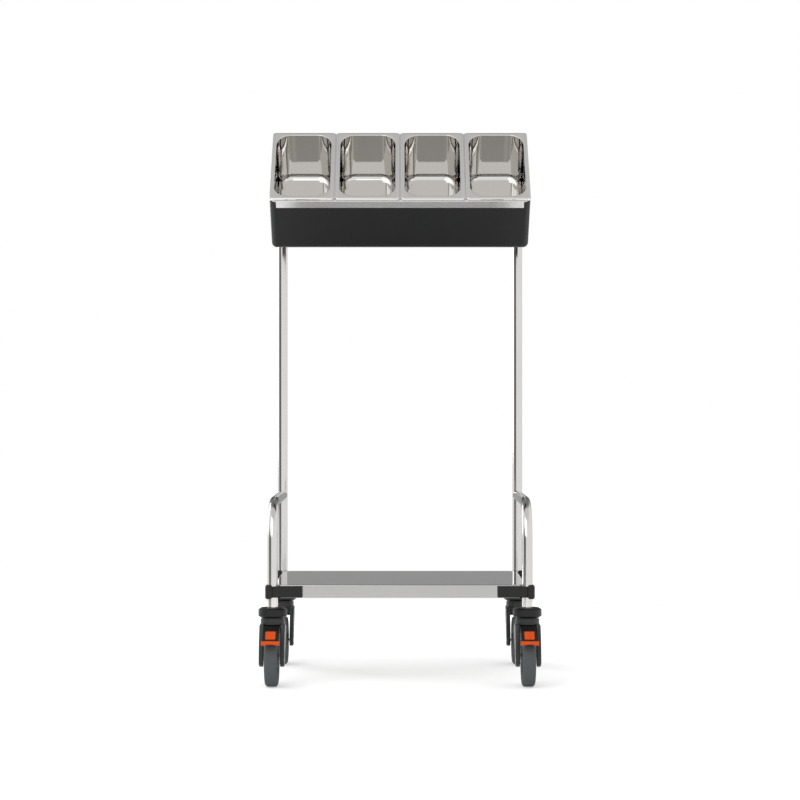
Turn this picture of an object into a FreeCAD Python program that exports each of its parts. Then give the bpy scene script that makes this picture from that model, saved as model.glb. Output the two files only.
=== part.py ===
import FreeCAD, Part
import math
import os

V = FreeCAD.Vector
X_AXIS = V(1, 0, 0)
Y_AXIS = V(0, 1, 0)
Z_AXIS = V(0, 0, 1)
ORIGIN = V(0, 0, 0)

# Cutlery trolley. Millimetres, +Z up, the guest stands at -Y. The origin is on
# the floor, under the middle of the trolley's outline.

# Driving sizes of the stand
leg_spacing = 618.0
leg_depth = 450.0
tube_d = 25.0
tube_wall = 1.5
upright_below_rim = 67.0
hoop_height = 440.0
hoop_bend_r = 100.0
weld_gap = 0.1
cap_thickness = 4.0
cap_round = 3.2
cap_plug_length = 22.0
cap_plug_gap = 0.1

# Shelf, of folded sheet
shelf_top = 241.0
shelf_lip = 32.0
shelf_sheet = 1.5
shelf_bend_r = 3.0
shelf_side_inset = 1.0
shelf_end_inset = 7.5

# Shelf clamps
clamp_reach = 89.4
clamp_arm_height = 27.0
clamp_cap_height = 34.0
clamp_wall = 5.0
clamp_cap_width = 16.3
clamp_face = 3.2
clamp_arm_gap = 0.3
clamp_edge = 1.6
clamp_cap_edge = 3.5
clamp_bore_gap = 0.1
notch_gap = 0.5
clamp_screw_d = 5.0
clamp_screw_head_d = 9.0
clamp_screw_head = 3.0
clamp_screw_length = 16.0
clamp_screw_gap = 0.1
clamp_screw_places = (22.0, 44.0)

# Bumper discs
disc_d = 70.0
disc_height = 24.5
disc_chamfer_out = 6.5
disc_chamfer_up = 4.5
disc_floor = 2.5
disc_bore_gap = 0.1

# Castors
castor_over_wheel = 37.5
castor_trail = 38.0
wheel_d = 125.0
wheel_width = 32.0
head_d = 59.0
neck_d = 54.0
neck_height = 3.2
band_height = 11.5
band_groove = 0.8
band_groove_up = 4.8
stem_flange_d = 34.0
stem_flange = 2.5
stem_plug_length = 45.0
stem_plug_gap = 0.2
pin_d = 16.0
pin_head_d = 22.0
pin_head = 4.5
pin_head_gap = 0.4
pin_seat_depth = 11.5
swivel_gap = 0.3
swivel_bore_gap = 0.4
ball_ring_d = 28.0
ball_ring_height = 8.5
ball_ring_gap = 0.05
ball_ring_play = 0.1
ball_ring_down = 3.7
fork_hub_gap = 2.6
fork_leg = 10.4
fork_bevel = 3.5
fork_foot_r = 17.0
fork_foot_down = 15.0
fork_foot_side = 12.75
fork_foot_low = 10.2
fork_knee_down = 21.25
fork_back_in = 9.35
crown_front = 13.0
tread_gap = 3.5
axle_d = 8.0
axle_gap = 0.05
axle_head_d = 14.0
axle_head = 2.6
axle_head_gap = 0.2

# Wheels
hub_rim_d = 92.0
hub_rim_wall = 6.0
hub_rim_width = 26.0
hub_web = 6.0
hub_barrel_d = 32.0
hub_barrel_width = 36.0
hub_core_gap = 5.0
wheel_bearing_d = 22.0
wheel_bearing_width = 7.0
bearing_fit = 0.05
tyre_fit = 0.05
tyre_foot_width = 28.0
tread_round = 8.0

# Brake pedals of the front castors
pedal_side_gap = 0.4
pedal_reach = 77.0
pedal_travel_deg = 7.0
pedal_pressed_gap = 0.8
pedal_top_gap = 3.0
pedal_pivot_back = 24.0
pedal_pivot_down = 9.5
pedal_pin_d = 5.0
pedal_pin_gap = 0.15
pedal_pin_length = 3.0
pedal_shoulder = 46.0
pedal_knee = 80.0
pedal_knee_down = 7.5
pedal_nose_up = 54.0
pedal_nose_back = 8.0
pedal_nose_length = 11.2
pedal_back_gap = 4.3
pedal_back_drop = 10.0
button_width = 24.0
button_proud = 1.8
button_start = 0.06
button_end = 0.86
lip_width = 43.0
lip_height = 10.5
lip_depth = 14.0
lip_bevel = 3.5
lip_arch_r = 60.0
lip_arch_rise = 2.5

# Containers, gastronorm 1/4 in plan, side by side
pan_count = 4
pan_width = 162.0
pan_length = 265.0
pan_depth = 142.0
pan_sheet = 1.0
pan_gap = 1.8
pan_corner_r = 8.0
pan_rim = 11.0
pan_mouth_r = 38.0
pan_floor_r = 15.0
pan_lip = 6.5
pan_rim_round = 2.5

# Rims lean towards the guest
rim_tilt = 45.0
rim_back_height = 1379.0

# Tub and the carrier frame on it
tub_side_tuck = 0.8
tub_floor_gap = 21.0
tub_wall = 3.0
tub_edge_r = 13.5
tub_overhang = 1.5
tub_upright_gap = 1.0
carrier_sheet = 1.5
carrier_side_inset = 3.0
carrier_flange = 20.5
carrier_mouth_gap = 1.5
pan_seat_gap = 0.2
carrier_fit = 0.1

# Consoles between uprights and tub, and their bolts
console_sheet = 4.0
console_web_out = 4.0
console_front_inset = 57.0
console_back_inset = 27.0
console_foot_drop = 18.0
console_bolt_d = 6.0
console_bolt_gap = 0.2
console_bolt_inset = 9.5
console_bolt_edge = 24.0
console_bolt_front = 25.0
console_bolt_back = 30.0
console_nut_d = 11.0
console_nut = 5.0
console_head_d = 10.0
console_head = 2.4

# Derived sizes
tube_r = tube_d / 2
tube_bore_r = tube_r - tube_wall
leg_x = leg_spacing / 2
upright_top = rim_back_height - upright_below_rim
axle_height = wheel_d / 2
wheel_r = wheel_d / 2
castor_height = wheel_d + castor_over_wheel
fork_slot = hub_barrel_width + 2 * fork_hub_gap
fork_width = fork_slot + 2 * fork_leg
pedal_width = fork_slot - 2 * pedal_side_gap
disc_r = disc_d / 2
lip_front = castor_trail + pedal_reach
outline_shift = (lip_front - disc_r - leg_depth) / 2
front_leg_y = outline_shift
rear_leg_y = outline_shift + leg_depth
tube_start = castor_height + stem_flange + disc_floor
shelf_mid = shelf_top - shelf_lip / 2
shelf_half_width = leg_x - shelf_side_inset
band_base = castor_height - swivel_gap - neck_height - band_height
pin_seat_height = band_base - pin_seat_depth
pan_mouth_width = pan_width - 2 * pan_rim
pan_mouth_length = pan_length - 2 * pan_rim
pan_pitch = pan_width + pan_gap
carrier_top = -pan_lip - pan_seat_gap
tub_top = carrier_top - carrier_sheet
tub_width = pan_count * pan_pitch - pan_gap - 2 * tub_side_tuck
tub_length = pan_length + 2 * tub_overhang
tub_back = pan_length + tub_overhang
tub_depth = pan_depth + tub_floor_gap + tub_wall
carrier_mouth_r = pan_mouth_r + pan_sheet + carrier_mouth_gap
console_low = console_front_inset - tub_overhang
console_high = tub_back - console_back_inset
console_bolt_x = tub_width / 2 - tub_edge_r - console_bolt_inset
tilt = math.radians(rim_tilt)
rim_front_z = rim_back_height - pan_length * math.sin(tilt)
corner_back = (tub_back - tub_edge_r) * math.cos(tilt)
corner_down = (tub_depth - tub_edge_r) * math.sin(tilt)
tub_reach = corner_back + corner_down + tub_edge_r
rim_front_y = rear_leg_y - tube_r - tub_upright_gap - tub_reach
sides = {"left": -1, "right": 1}
ends = {"front": front_leg_y, "rear": rear_leg_y}
corners = []
for end_name in ends:
    for side_name in sides:
        corners.append((end_name, side_name))


def block(x0, x1, y0, y1, z0, z1):
    """Box between two corners, in any order."""
    low = V(min(x0, x1), min(y0, y1), min(z0, z1))
    return Part.makeBox(abs(x1 - x0), abs(y1 - y0), abs(z1 - z0), low)


def rod(radius, start, end):
    """Round bar from one point to another."""
    along = end - start
    return Part.makeCylinder(radius, along.Length, start, along)


def post(radius, x, y, z0, z1):
    """Upright round bar."""
    return rod(radius, V(x, y, z0), V(x, y, z1))


def cross_bar(radius, x0, x1, y, z):
    """Level round bar along X."""
    return rod(radius, V(x0, y, z), V(x1, y, z))


def plate(outline, x0, x1):
    """Plate standing across X, from a list of (y, z) corners."""
    points = [V(x0, y, z) for y, z in outline]
    face = Part.Face(Part.makePolygon(points + [points[0]]))
    return face.extrude(V(x1 - x0, 0, 0))


def turned(profile, axis_point, axis):
    """Ring made by turning a closed wire of points about an axis."""
    face = Part.Face(Part.makePolygon(profile + [profile[0]]))
    return face.revolve(axis_point, axis, 360)


def round_rectangle(width, length, radius, centre_x, centre_y, z):
    """Level wire: a rectangle with round corners."""
    half_x = width / 2 - radius
    half_y = length / 2 - radius
    slant = radius * math.sqrt(0.5)
    edges = []
    places = [(1, -1), (1, 1), (-1, 1), (-1, -1)]
    starts = []
    stops = []
    for index, (sx, sy) in enumerate(places):
        middle = V(centre_x + sx * half_x, centre_y + sy * half_y, z)
        along_y = middle + V(0, sy * radius, 0)
        along_x = middle + V(sx * radius, 0, 0)
        even = index % 2 == 0
        start = along_y if even else along_x
        stop = along_x if even else along_y
        corner = middle + V(sx * slant, sy * slant, 0)
        starts.append(start)
        stops.append(stop)
        edges.append(Part.Arc(start, corner, stop).toShape())
    loop = []
    for index in range(len(places)):
        following = (index + 1) % len(places)
        loop.append(edges[index])
        loop.append(Part.LineSegment(stops[index], starts[following]).toShape())
    return Part.Wire(loop)


def round_block(width, length, radius, centre_y, z0, z1, centre_x=0.0):
    """Block with round upright edges."""
    wire = round_rectangle(width, length, radius, centre_x, centre_y, z0)
    return Part.Face(wire).extrude(V(0, 0, z1 - z0))


def leaned(shape):
    """Bring a shape from the rim plane's own frame into the trolley's frame."""
    placed = shape.copy()
    placed.rotate(ORIGIN, X_AXIS, rim_tilt)
    placed.translate(V(0, rim_front_y, rim_front_z))
    return placed


def leaned_point(along, up):
    """A (y, z) pair for a point along the rim plane and up from it."""
    y = rim_front_y + along * math.cos(tilt) - up * math.sin(tilt)
    z = rim_front_z + along * math.sin(tilt) + up * math.cos(tilt)
    return (y, z)


def save(name, shape):
    """Write one node."""
    shape.exportStep("parts/" + name + ".step")
    print(name, len(shape.Solids), "solids", round(shape.Volume), "mm3", shape.isValid())


# Stand

def make_upright(side):
    """Rear tube, from the castor to behind the tub."""
    x = side * leg_x
    outer = post(tube_r, x, rear_leg_y, tube_start, upright_top)
    return outer.cut(post(tube_bore_r, x, rear_leg_y, tube_start, upright_top))


def hoop_tube(radius, side):
    """Solid bar along the hoop's path."""
    x = side * leg_x
    slant = hoop_bend_r * (1 - math.sqrt(0.5))
    start = V(x, front_leg_y, tube_start)
    bend_start = V(x, front_leg_y, hoop_height - hoop_bend_r)
    bend_middle = V(x, front_leg_y + slant, hoop_height - slant)
    bend_end = V(x, front_leg_y + hoop_bend_r, hoop_height)
    finish = V(x, rear_leg_y, hoop_height)
    leg = Part.LineSegment(start, bend_start).toShape()
    bend = Part.Arc(bend_start, bend_middle, bend_end).toShape()
    rail = Part.LineSegment(bend_end, finish).toShape()
    path = Part.Wire([leg, bend, rail])
    mouth = Part.Wire([Part.makeCircle(radius, start, Z_AXIS)])
    return path.makePipeShell([mouth], True, False)


def make_side_hoop(side):
    """Front leg, bend and level rail in one bent tube, coped to the upright."""
    x = side * leg_x
    tube = hoop_tube(tube_r, side).cut(hoop_tube(tube_bore_r, side))
    cope = post(tube_r + weld_gap, x, rear_leg_y, hoop_height - tube_d, hoop_height + tube_d)
    coped = tube.cut(cope)
    past = block(x - tube_d, x + tube_d, rear_leg_y, rear_leg_y + tube_d, 0, hoop_height + tube_d)
    return coped.cut(past)


def make_upright_caps():
    """Domed plugs in the tops of the uprights."""
    caps = []
    for side in sides.values():
        x = side * leg_x
        plug_r = tube_bore_r - cap_plug_gap
        plug = post(plug_r, x, rear_leg_y, upright_top - cap_plug_length, upright_top)
        head = post(tube_r, x, rear_leg_y, upright_top, upright_top + cap_thickness)
        edges = [e for e in head.Edges if e.BoundBox.ZMin > upright_top + cap_thickness / 2]
        head = head.makeFillet(cap_round, edges[:1])
        caps.append(plug.fuse(head).removeSplitter())
    return Part.makeCompound(caps)


def screw_places(end_name, side_name):
    """Middles of the screws of one clamp, as (x, outward y direction, lip face y)."""
    side = sides[side_name]
    outward = -1 if end_name == "front" else 1
    lip_y = ends[end_name] - outward * shelf_end_inset
    inner_x = leg_x + tube_r + clamp_wall - clamp_reach
    return [(side * (inner_x + place), outward, lip_y) for place in clamp_screw_places]


def bent_block(shrink, low):
    """Block under the shelf's face, its top and upright edges rounded, drawn in by shrink."""
    half = shelf_half_width - shrink
    front = front_leg_y + shelf_end_inset + shrink
    rear = rear_leg_y - shelf_end_inset - shrink
    top = shelf_top - shrink
    solid = block(-half, half, front, rear, low, top)
    edges = [e for e in solid.Edges if e.BoundBox.ZMin > low + 1 or e.BoundBox.ZLength > 1]
    return solid.makeFillet(shelf_bend_r - shrink, edges)


def make_shelf():
    """Folded sheet shelf with lips, notched round the clamps, with screw holes."""
    low = shelf_top - shelf_lip
    half = shelf_half_width
    tray = bent_block(0.0, low).cut(bent_block(shelf_sheet, low - 1))
    notch_x = leg_x - tube_r - clamp_wall - notch_gap
    notch_y = tube_r + clamp_wall + notch_gap
    for end_name, side_name in corners:
        side = sides[side_name]
        outward = -1 if end_name == "front" else 1
        y = ends[end_name]
        inboard = y - outward * notch_y
        notch = block(
            side * notch_x, side * (half + 1), inboard, y + outward * notch_y, low - 1, shelf_top + 1
        )
        tray = tray.cut(notch)
        for x, outward, lip_y in screw_places(end_name, side_name):
            hole_r = clamp_screw_d / 2 + clamp_screw_gap
            start = V(x, lip_y + outward, shelf_mid)
            stop = V(x, lip_y - outward * (shelf_sheet + 1), shelf_mid)
            tray = tray.cut(rod(hole_r, start, stop))
    return tray


def clamp_block(end_name, side_name, inner_x, outer_x, height):
    """One block of a clamp, from its face to behind the tube."""
    side = sides[side_name]
    outward = -1 if end_name == "front" else 1
    leg_y = ends[end_name]
    face_y = leg_y + outward * (tube_r + clamp_face)
    back_y = leg_y - outward * (tube_r + clamp_wall)
    low = shelf_mid - height / 2
    high = shelf_mid + height / 2
    return block(side * inner_x, side * outer_x, face_y, back_y, low, high)


def clamp_bore(end_name, side_name):
    """Bar that the clamps of one leg are bored with."""
    x = sides[side_name] * leg_x
    low = shelf_mid - clamp_cap_height
    return post(tube_r + clamp_bore_gap, x, ends[end_name], low, shelf_mid + clamp_cap_height)


def edges_at(solid, axis, place):
    """Edges of a solid that lie in one plane across an axis (0, 1 or 2)."""
    found = []
    for e in solid.Edges:
        box = e.BoundBox
        spans = ((box.XMin, box.XMax), (box.YMin, box.YMax), (box.ZMin, box.ZMax))
        if abs(spans[axis][0] - place) < 0.01 and abs(spans[axis][1] - place) < 0.01:
            found.append(e)
    return found


def make_clamp(end_name, side_name):
    """Clamp body: a collar round the tube and an arm along the shelf's lip."""
    side = sides[side_name]
    outward = -1 if end_name == "front" else 1
    outer_x = leg_x + tube_r + clamp_wall
    split_x = outer_x - clamp_cap_width
    inner_x = outer_x - clamp_reach
    solid = clamp_block(end_name, side_name, inner_x, split_x, clamp_arm_height)
    face_y = ends[end_name] + outward * (tube_r + clamp_face)
    solid = solid.makeChamfer(clamp_edge, edges_at(solid, 1, face_y))
    solid = solid.cut(clamp_bore(end_name, side_name))
    lip_y = ends[end_name] - outward * shelf_end_inset
    collar_x = leg_x - tube_r - clamp_wall
    behind = lip_y + outward * clamp_arm_gap
    back_y = ends[end_name] - outward * (tube_r + clamp_wall + 1)
    relief = block(
        side * (inner_x - 1), side * collar_x, behind, back_y,
        shelf_mid - clamp_arm_height, shelf_mid + clamp_arm_height
    )
    solid = solid.cut(relief)
    for x, outward, lip_y in screw_places(end_name, side_name):
        depth = clamp_screw_length - shelf_sheet + 1
        start = V(x, lip_y, shelf_mid)
        stop = V(x, lip_y + outward * depth, shelf_mid)
        solid = solid.cut(rod(clamp_screw_d / 2 + clamp_screw_gap, start, stop))
    return solid


def make_clamp_caps():
    """Outer shells that close the collars round the tubes."""
    caps = []
    outer_x = leg_x + tube_r + clamp_wall
    inner_x = outer_x - clamp_cap_width
    for end_name, side_name in corners:
        side = sides[side_name]
        cap = clamp_block(end_name, side_name, inner_x, outer_x, clamp_cap_height)
        edges = edges_at(cap, 0, side * outer_x)
        edges += [e for e in edges_at(cap, 0, side * inner_x) if e.BoundBox.YLength > 1]
        cap = cap.makeChamfer(clamp_cap_edge, edges)
        caps.append(cap.cut(clamp_bore(end_name, side_name)))
    return Part.makeCompound(caps)


def make_clamp_screws():
    """Pan-head screws from inside the shelf's lips into the clamps."""
    screws = []
    for end_name, side_name in corners:
        for x, outward, lip_y in screw_places(end_name, side_name):
            inside_y = lip_y - outward * shelf_sheet
            seat = V(x, inside_y, shelf_mid)
            tip = V(x, inside_y + outward * clamp_screw_length, shelf_mid)
            crown = V(x, inside_y - outward * clamp_screw_head, shelf_mid)
            shank = rod(clamp_screw_d / 2, seat, tip)
            head = rod(clamp_screw_head_d / 2, crown, seat)
            screws.append(shank.fuse(head).removeSplitter())
    return Part.makeCompound(screws)


def make_bumper_disc(end_name, side_name):
    """Thick round bumper round the tube's foot, seated on the castor's stem flange."""
    x = sides[side_name] * leg_x
    y = ends[end_name]
    low = castor_height
    high = castor_height + disc_height
    profile = [
        V(x, y, low),
        V(x + disc_r - disc_chamfer_out, y, low),
        V(x + disc_r, y, low + disc_chamfer_up),
        V(x + disc_r, y, high - disc_chamfer_up),
        V(x + disc_r - disc_chamfer_out, y, high),
        V(x, y, high),
    ]
    disc = turned(profile, V(x, y, 0), Z_AXIS)
    flange_top = low + stem_flange
    disc = disc.cut(post(stem_flange_d / 2 + disc_bore_gap, x, y, low - 1, flange_top))
    disc = disc.cut(post(tube_bore_r, x, y, low - 1, high))
    return disc.cut(post(tube_r + disc_bore_gap, x, y, tube_start, high + 1))


# Castors

def make_castor_stem(end_name, side_name):
    """Stem: a plug in the tube, a flange, and the pin that the fork swivels on."""
    x = sides[side_name] * leg_x
    y = ends[end_name]
    flange_top = castor_height + stem_flange
    plug = post(tube_bore_r - stem_plug_gap, x, y, flange_top, flange_top + stem_plug_length)
    flange = post(stem_flange_d / 2, x, y, castor_height, flange_top)
    pin = post(pin_d / 2, x, y, pin_seat_height - pin_head_gap, castor_height)
    head_top = pin_seat_height - pin_head_gap
    head = post(pin_head_d / 2, x, y, head_top - pin_head, head_top)
    return plug.fuse([flange, pin, head]).removeSplitter()


def ring_span():
    """Low and high faces of the swivel bearing's ring."""
    high = castor_height - ball_ring_down
    return (high - ball_ring_height, high)


def make_swivel_bearings():
    """Ball rings on the four swivel pins."""
    rings = []
    low, high = ring_span()
    for end_name, side_name in corners:
        x = sides[side_name] * leg_x
        y = ends[end_name]
        outer = post(ball_ring_d / 2, x, y, low, high)
        rings.append(outer.cut(post(pin_d / 2 + ball_ring_gap, x, y, low, high)))
    return Part.makeCompound(rings)


def fork_cheek_outline(shrink):
    """Side outline of a fork leg, drawn in from its edge by shrink."""
    foot = -castor_trail
    head_r = head_d / 2
    foot_r = fork_foot_r
    knee_z = band_base - fork_knee_down
    low_z = axle_height - fork_foot_low + shrink / 2
    outline = [
        (-head_r + shrink, band_base),
        (head_r - shrink, band_base),
        (head_r - shrink, knee_z),
        (foot + foot_r - shrink, axle_height + shrink),
        (foot + fork_foot_side - shrink, low_z),
        (foot, axle_height - fork_foot_down + shrink),
        (foot - fork_foot_side + shrink, low_z),
        (foot - foot_r + shrink, axle_height + shrink),
        (foot - fork_back_in + shrink, knee_z - foot_r + shrink),
    ]
    return outline


def fork_cheek(side, y):
    """One leg of the fork, bevelled on its outer side, y being the swivel axis."""
    inner = fork_slot / 2
    outer = fork_width / 2
    wires = []
    for offset, shrink in ((inner, 0.0), (outer - fork_bevel, 0.0), (outer, fork_bevel)):
        points = [V(side * offset, y + py, pz) for py, pz in fork_cheek_outline(shrink)]
        wires.append(Part.makePolygon(points + [points[0]]))
    return Part.makeLoft(wires, True, True)


def make_castor_fork(end_name, side_name):
    """Swivelling fork: banded head, crown over the wheel, two legs."""
    x = sides[side_name] * leg_x
    y = ends[end_name]
    top = castor_height - swivel_gap
    head_r = head_d / 2
    neck = post(neck_d / 2, x, y, top - neck_height, top)
    band = post(head_r, x, y, band_base, top - neck_height)
    groove_low = band_base + band_groove_up
    groove = post(head_r + 1, x, y, groove_low, groove_low + band_groove)
    groove = groove.cut(post(head_r - band_groove, x, y, groove_low, groove_low + band_groove))
    crown_low = axle_height + wheel_r
    crown = block(-fork_slot / 2, fork_slot / 2, y - crown_front, y + head_r - fork_bevel, crown_low, band_base)
    room = cross_bar(wheel_r + tread_gap, -fork_width, fork_width, y - castor_trail, axle_height)
    crown = crown.cut(room)
    crown.translate(V(x, 0, 0))
    cheeks = [fork_cheek(side, y) for side in (-1, 1)]
    for cheek in cheeks:
        cheek.translate(V(x, 0, 0))
    fork = neck.fuse([band, crown] + cheeks).removeSplitter()
    fork = fork.cut(groove)
    low, high = ring_span()
    ring_seat = low - ball_ring_play
    fork = fork.cut(post(ball_ring_d / 2 + ball_ring_play, x, y, ring_seat, top + 1))
    fork = fork.cut(post(pin_d / 2 + swivel_bore_gap, x, y, pin_seat_height - 1, top + 1))
    fork = fork.cut(post(pin_head_d / 2 + 1, x, y, crown_low - 1, pin_seat_height))
    axle_y = y - castor_trail
    fork = fork.cut(cross_bar(axle_d / 2 + axle_gap, x - fork_width, x + fork_width, axle_y, axle_height))
    seat = fork_width / 2 - axle_head
    for side in (-1, 1):
        recess_r = axle_head_d / 2 + axle_head_gap
        recess = cross_bar(recess_r, x + side * seat, x + side * fork_width, axle_y, axle_height)
        fork = fork.cut(recess)
    pin_r = pedal_pin_d / 2 + pedal_pin_gap
    hole_half = fork_slot / 2 + pedal_pin_length + pedal_pin_gap
    hole = cross_bar(pin_r, x - hole_half, x + hole_half, y - pedal_pivot_back, band_base - pedal_pivot_down)
    return fork.cut(hole)


def make_axle(end_name, side_name):
    """Wheel axle with a flat head at each end, sunk in the fork's legs."""
    x = sides[side_name] * leg_x
    y = ends[end_name] - castor_trail
    seat = fork_width / 2 - axle_head
    bar = cross_bar(axle_d / 2, x - seat, x + seat, y, axle_height)
    heads = []
    for side in (-1, 1):
        heads.append(
            cross_bar(axle_head_d / 2, x + side * seat, x + side * fork_width / 2, y, axle_height)
        )
    return bar.fuse(heads).removeSplitter()


def make_wheel_hub(end_name, side_name):
    """Hub: barrel for two bearings, web, and the rim under the tyre."""
    x = sides[side_name] * leg_x
    y = ends[end_name] - castor_trail
    half = hub_barrel_width / 2
    barrel = cross_bar(hub_barrel_d / 2, x - half, x + half, y, axle_height)
    web = cross_bar(hub_rim_d / 2 - hub_rim_wall / 2, x - hub_web / 2, x + hub_web / 2, y, axle_height)
    rim_half = hub_rim_width / 2
    rim = cross_bar(hub_rim_d / 2, x - rim_half, x + rim_half, y, axle_height)
    rim = rim.cut(cross_bar(hub_rim_d / 2 - hub_rim_wall, x - rim_half, x + rim_half, y, axle_height))
    hub = barrel.fuse([web, rim]).removeSplitter()
    hub = hub.cut(cross_bar(axle_d / 2 + hub_core_gap, x - half, x + half, y, axle_height))
    inner = half - wheel_bearing_width
    for side in (-1, 1):
        seat_r = wheel_bearing_d / 2 + bearing_fit
        hub = hub.cut(cross_bar(seat_r, x + side * inner, x + side * half, y, axle_height))
    return hub


def make_tyre(end_name, side_name):
    """Tyre with a round-shouldered tread."""
    x = sides[side_name] * leg_x
    y = ends[end_name] - castor_trail
    foot_r = hub_rim_d / 2 + tyre_fit
    half = wheel_width / 2
    foot = tyre_foot_width / 2
    shoulder = wheel_r - tread_round
    flat = half - tread_round
    slant = tread_round * math.sqrt(0.5)
    z = axle_height

    def at(across, radius):
        return V(x + across, y, z + radius)

    edges = [
        Part.LineSegment(at(-foot, foot_r), at(foot, foot_r)).toShape(),
        Part.LineSegment(at(foot, foot_r), at(half, shoulder)).toShape(),
        Part.Arc(at(half, shoulder), at(flat + slant, shoulder + slant), at(flat, wheel_r)).toShape(),
        Part.LineSegment(at(flat, wheel_r), at(-flat, wheel_r)).toShape(),
        Part.Arc(at(-flat, wheel_r), at(-flat - slant, shoulder + slant), at(-half, shoulder)).toShape(),
        Part.LineSegment(at(-half, shoulder), at(-foot, foot_r)).toShape(),
    ]
    return Part.Face(Part.Wire(edges)).revolve(V(x, y, z), X_AXIS, 360)


def make_wheel_bearings(end_name, side_name):
    """Two ball bearings, pressed in the hub's ends."""
    x = sides[side_name] * leg_x
    y = ends[end_name] - castor_trail
    outer = hub_barrel_width / 2
    inner = outer - wheel_bearing_width
    pair = []
    for side in (-1, 1):
        body = cross_bar(wheel_bearing_d / 2, x + side * inner, x + side * outer, y, axle_height)
        bore = cross_bar(axle_d / 2 + axle_gap, x + side * inner, x + side * outer, y, axle_height)
        pair.append(body.cut(bore))
    return Part.makeCompound(pair)


def pedal_outline():
    """Side outline of the pedal, (y, z) from the swivel axis, front to -y."""
    top = band_base - pedal_top_gap
    knee_z = top - pedal_knee_down
    back_y = -crown_front - pedal_back_gap
    nose_y = -lip_front + pedal_nose_back
    nose_z = axle_height + pedal_nose_up
    return {
        "back_low": (back_y, axle_height + wheel_r - pedal_back_drop),
        "back_top": (back_y, top),
        "shoulder": (-pedal_shoulder, top),
        "knee": (-pedal_knee, knee_z),
        "nose": (nose_y, nose_z),
    }


def make_brake_pedal(side_name):
    """Rocking pedal over the front of the wheel, on two short pivot pins."""
    x = sides[side_name] * leg_x
    y = front_leg_y
    corner = pedal_outline()
    nose_y, nose_z = corner["nose"]
    names = ["back_low", "back_top", "shoulder", "knee", "nose"]
    outline = [corner[name] for name in names]
    outline.append((nose_y + pedal_nose_length, nose_z))
    solid = plate([(y + py, pz) for py, pz in outline], x - pedal_width / 2, x + pedal_width / 2)
    pivot = V(x, y - pedal_pivot_back, band_base - pedal_pivot_down)
    pins = cross_bar(
        pedal_pin_d / 2,
        x - fork_slot / 2 - pedal_pin_length,
        x + fork_slot / 2 + pedal_pin_length,
        pivot.y, pivot.z
    )
    solid = solid.fuse(pins).removeSplitter()
    half = wheel_width
    axle_y = y - castor_trail
    solid = solid.cut(cross_bar(wheel_r + pedal_top_gap, x - half, x + half, axle_y, axle_height))
    pressed = cross_bar(wheel_r + pedal_pressed_gap, x - half, x + half, axle_y, axle_height)
    pressed.rotate(pivot, X_AXIS, -pedal_travel_deg)
    return solid.cut(pressed)


def make_brake_button(side_name):
    """Square button on the pedal's slope."""
    x = sides[side_name] * leg_x
    corner = pedal_outline()
    knee_y, knee_z = corner["knee"]
    nose_y, nose_z = corner["nose"]
    run = V(0, nose_y - knee_y, nose_z - knee_z)
    out = V(0, run.z, -run.y)
    out.normalize()
    outline = []
    for share, lift in ((button_start, 0), (button_end, 0), (button_end, 1), (button_start, 1)):
        point = V(0, knee_y, knee_z) + run * share + out * (lift * button_proud)
        outline.append((front_leg_y + point.y, point.z))
    return plate(outline, x - button_width / 2, x + button_width / 2)


def make_brake_lip(side_name):
    """Foot lip under the pedal's nose, its underside arched."""
    x = sides[side_name] * leg_x
    nose_z = pedal_outline()["nose"][1]
    front = front_leg_y - lip_front
    back = front + lip_depth
    low = nose_z - lip_height
    outline = [
        (back, nose_z),
        (back, low),
        (front + lip_bevel, low),
        (front, low + lip_bevel),
        (front, nose_z - lip_bevel),
        (front + lip_bevel, nose_z),
    ]
    solid = plate(outline, x - lip_width / 2, x + lip_width / 2)
    arch_z = low + lip_arch_rise - lip_arch_r
    arch = rod(lip_arch_r, V(x, front - 1, arch_z), V(x, back + 1, arch_z))
    return solid.cut(arch)


# Top: tub, carrier frame and containers, drawn level and then leaned

def pan_bowl(grow, top):
    """Solid bowl of a container with a round-edged floor, grown outwards from its inner face."""
    middle = pan_length / 2
    floor = -pan_depth + pan_sheet - grow
    width = pan_mouth_width + 2 * grow
    length = pan_mouth_length + 2 * grow
    bowl = round_block(width, length, pan_mouth_r + grow, middle, floor, top)
    edges = [e for e in bowl.Edges if e.BoundBox.ZMax < floor + 1]
    return bowl.makeFillet(pan_floor_r + grow, edges)


def make_cutlery_pan(number):
    """Deep-drawn container with a flat rim, round at its edge, and a turned-down lip."""
    middle = pan_length / 2
    rim = round_block(pan_width, pan_length, pan_corner_r, middle, -pan_lip, 0)
    rim = rim.makeFillet(pan_rim_round, [e for e in rim.Edges if e.BoundBox.ZMin > -1])
    under = round_block(
        pan_width - 2 * pan_sheet, pan_length - 2 * pan_sheet, pan_corner_r - pan_sheet,
        middle, -pan_lip - 1, -pan_sheet
    )
    under = under.makeFillet(
        pan_rim_round - pan_sheet, [e for e in under.Edges if e.BoundBox.ZMin > -pan_lip]
    )
    pan = rim.cut(under).fuse(pan_bowl(pan_sheet, 0.0)).removeSplitter()
    pan = pan.cut(pan_bowl(0.0, 1.0))
    x = (number - (pan_count + 1) / 2) * pan_pitch
    pan.translate(V(x, 0, 0))
    return leaned(pan)


def tub_box(shrink, top):
    """Box with round edges and an open-cut top, drawn in by shrink."""
    radius = tub_edge_r - shrink
    low = -tub_depth + shrink
    solid = block(
        -tub_width / 2 + shrink, tub_width / 2 - shrink,
        -tub_overhang + shrink, tub_back - shrink, low, top
    )
    edges = []
    for e in solid.Edges:
        upright = e.BoundBox.ZLength > 1
        at_floor = e.BoundBox.ZMax < low + 1
        if upright or at_floor:
            edges.append(e)
    return solid.makeFillet(radius, edges)


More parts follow.
